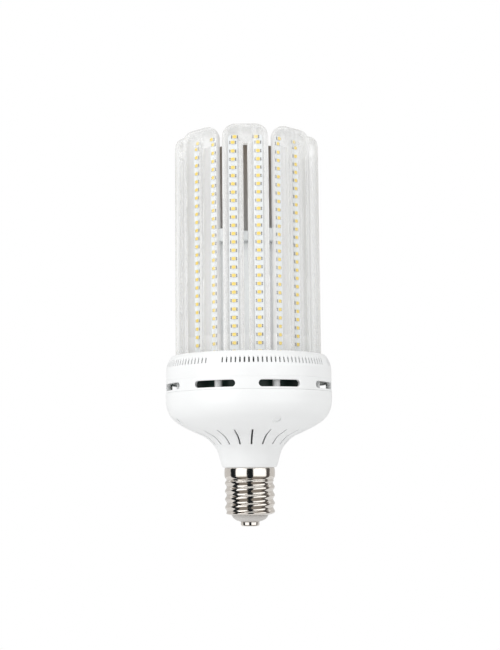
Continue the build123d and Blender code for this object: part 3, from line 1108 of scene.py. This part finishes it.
def make_half_tube(name, front):
    """Mesh of one half of the first U tube."""
    low = bottom("tube_1_lens")
    profile = half_profile(front)
    corner_steps = 10
    leg_z = [low, low + 60 * MM, low + 120 * MM]
    rings = []
    s = sizes()
    for side in (1, -1):
        legs = [[(side * (s.leg_offset + u), -s.leg_circle_r - v, z) for u, v in profile] for z in leg_z]
        bends = [
            [u_point(side, math.pi / 2 * k / corner_steps, u, v) for u, v in profile]
            for k in range(corner_steps + 1)
        ]
        run = legs + bends
        rings += run if side == 1 else run[::-1]
    mesh = bmesh.new()
    rows = [[mesh.verts.new(p) for p in ring] for ring in rings]
    count = len(profile)
    for row, after in zip(rows, rows[1:]):
        for i in range(count):
            k = (i + 1) % count
            mesh.faces.new((row[i], row[k], after[k], after[i]))
    for row in (rows[0], rows[-1]):
        for i in range(count // 2 - 1):
            mesh.faces.new((row[i], row[i + 1], row[count - 2 - i], row[count - 1 - i]))
    bmesh.ops.remove_doubles(mesh, verts=mesh.verts, dist=0.001 * MM)
    bmesh.ops.dissolve_degenerate(mesh, dist=0.001 * MM, edges=mesh.edges)
    bmesh.ops.recalc_face_normals(mesh, faces=mesh.faces)
    data = bpy.data.meshes.new(name)
    mesh.to_mesh(data)
    mesh.free()
    piece = bpy.data.objects.new(name, data)
    bpy.context.scene.collection.objects.link(piece)
    return smooth(piece, 40)


def make_tubes():
    """Model one U tube and copy it round the lamp."""
    lens = make_half_tube("lens_master", True)
    back = make_half_tube("back_master", False)
    for i in range(TUBES):
        turn = i * TUBE_STEP
        front_piece = turned_copy(lens, turn, f"u_lens_{i + 1}")
        finish_piece(front_piece, clear_lens(), "clear_lens", f"tube_{i + 1}_lens")
        back_piece = turned_copy(back, turn, f"u_back_{i + 1}")
        finish_piece(back_piece, back_white(), "white_back", f"tube_{i + 1}_back")
    bpy.data.objects.remove(lens)
    bpy.data.objects.remove(back)


class LAMP_OT_chips(LampOperator, bpy.types.Operator):
    """Light chips with their solder pads on every board"""

    bl_idname = "lamp.chips"
    bl_label = "Light chips"

    def execute(self, context):
        make_all_chips()
        return {"FINISHED"}


def chip_places():
    """Sideways place and height of every chip of one tube."""
    s = sizes()
    board_top = top("tube_1_boards")
    first = board_top - 12.9 * MM
    places = []
    for side in (-1, 1):
        places.append((side * (s.leg_offset - 1.5 * MM), board_top - 1.7 * MM))
        places.append((side * s.leg_offset, board_top - 6.1 * MM))
        places += [(side * s.leg_offset, first - row * s.chip_pitch) for row in range(s.chip_rows)]
    return places


def make_chip():
    """One chip: bevelled package with a round-cornered phosphor window."""
    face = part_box("tube_1_boards")[0].y
    package = box_piece("chip", (-1.75 * MM, face - 0.7 * MM, -1.4 * MM), (1.75 * MM, face, 1.4 * MM))
    soften(package, 0.12 * MM, 1)
    window = box_piece("window", (-1.5 * MM, face - 0.78 * MM, -1.25 * MM),
                       (1.5 * MM, face - 0.6 * MM, 1.25 * MM))
    bevel_upright(window, 0.7 * MM, 3)
    return package, window


def bevel_upright(piece, width, segments):
    """Round the four edges that run towards the front."""
    mesh = bmesh.new()
    mesh.from_mesh(piece.data)
    edges = [e for e in mesh.edges if abs((e.verts[0].co - e.verts[1].co).normalized().y) > 0.9]
    bmesh.ops.bevel(mesh, geom=edges, offset=width, segments=segments, profile=0.5, affect="EDGES")
    mesh.to_mesh(piece.data)
    mesh.free()
    return piece


def spread(piece, places, name):
    """Join copies of a piece at several places of the first tube."""
    copies = []
    for x, z in places:
        copy = piece.copy()
        copy.data = piece.data.copy()
        copy.data.transform(Matrix.Translation((x, 0, z)))
        bpy.context.scene.collection.objects.link(copy)
        copies.append(copy)
    bpy.data.objects.remove(piece)
    return join(copies, name)


def make_all_chips():
    """Model one tube's chips and pads and copy them round the lamp."""
    package, window = make_chip()
    package.data.materials.append(board_white())
    window.data.materials.append(phosphor())
    places = chip_places()
    chips = spread(join([package, window], "chip"), places, "chips_master")
    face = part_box("tube_1_boards")[0].y
    pads = []
    for side in (-1, 1):
        for rise in (-0.65 * MM, 0.65 * MM):
            x = side * 2.2 * MM
            pads.append(box_piece("pad", (x - 0.45 * MM, face - 0.12 * MM, rise - 0.5 * MM),
                                  (x + 0.45 * MM, face + 0.02 * MM, rise + 0.5 * MM)))
    pads = spread(join(pads, "pads"), places, "pads_master")
    for i in range(TUBES):
        turn = i * TUBE_STEP
        chip = turned_copy(chips, turn, f"chips_{i + 1}")
        finish_piece(chip, None, "led_chips", f"tube_{i + 1}_leds")
        pad = turned_copy(pads, turn, f"pads_{i + 1}")
        finish_piece(pad, solder_dark(), "led_chips")
    bpy.data.objects.remove(chips)
    bpy.data.objects.remove(pads)


class LAMP_OT_solids(LampOperator, bpy.types.Operator):
    """Finish of the solids that show as they are"""

    bl_idname = "lamp.solids"
    bl_label = "Carried-over solids"

    def execute(self, context):
        finishes = {
            "clip_ring": clip_plastic(),
            "driver_board": driver_green(),
            "insulation_sheet": sheet_green(),
            "screw_plugs": housing_white(),
            "transformer": black_parts(),
            "capacitors": black_parts(),
            "choke": copper_wire(),
            "film_capacitor": black_parts(),
            "switch_heatsink": bare_metal(),
            "leads": lead_rubber(),
            "housing_screws": bare_metal(),
        }
        for i in range(TUBES):
            finishes[f"tube_{i + 1}_boards"] = board_white()
        for node, material in finishes.items():
            paint_node(node, material)
        return {"FINISHED"}


def paint_node(node, material):
    """Put a material in a solid's own slots."""
    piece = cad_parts[node]
    if not piece.material_slots:
        piece.data.materials.append(material)
    for place in piece.material_slots:
        place.material = material


class LAMP_PT_build(bpy.types.Panel):
    """Sidebar panel with the lamp's steps"""

    bl_idname = "LAMP_PT_build"
    bl_label = "LED tube lamp"
    bl_space_type = "VIEW_3D"
    bl_region_type = "UI"
    bl_category = "Lamp"

    def draw(self, context):
        for step in STEPS:
            self.layout.operator(step.bl_idname)
        for group in (context.scene.lamp_sizes, context.scene.lamp_colours):
            for name in group.bl_rna.properties.keys():
                if name not in ("rna_type", "name"):
                    self.layout.prop(group, name)


STEPS = (
    LAMP_OT_stage,
    LAMP_OT_cap,
    LAMP_OT_housing,
    LAMP_OT_vent_ring,
    LAMP_OT_cover,
    LAMP_OT_core,
    LAMP_OT_tubes,
    LAMP_OT_chips,
    LAMP_OT_solids,
)
CLASSES = (LampSizes, LampColours, *STEPS, LAMP_PT_build)


def register():
    """Register the classes and the scene's settings."""
    for item in CLASSES:
        bpy.utils.register_class(item)
    bpy.types.Scene.lamp_sizes = PointerProperty(type=LampSizes)
    bpy.types.Scene.lamp_colours = PointerProperty(type=LampColours)


def unregister():
    """Take the classes and settings away."""
    del bpy.types.Scene.lamp_sizes
    del bpy.types.Scene.lamp_colours
    for item in reversed(CLASSES):
        bpy.utils.unregister_class(item)


def main():
    """Build the lamp step by step."""
    register()
    bpy.context.scene.view_settings.view_transform = "Standard"
    bpy.ops.lamp.stage()
    bpy.ops.lamp.cap()
    bpy.ops.lamp.housing()
    bpy.ops.lamp.vent_ring()
    bpy.ops.lamp.cover()
    bpy.ops.lamp.core()
    bpy.ops.lamp.tubes()
    bpy.ops.lamp.chips()
    bpy.ops.lamp.solids()


if __name__ == "__main__":
    main()
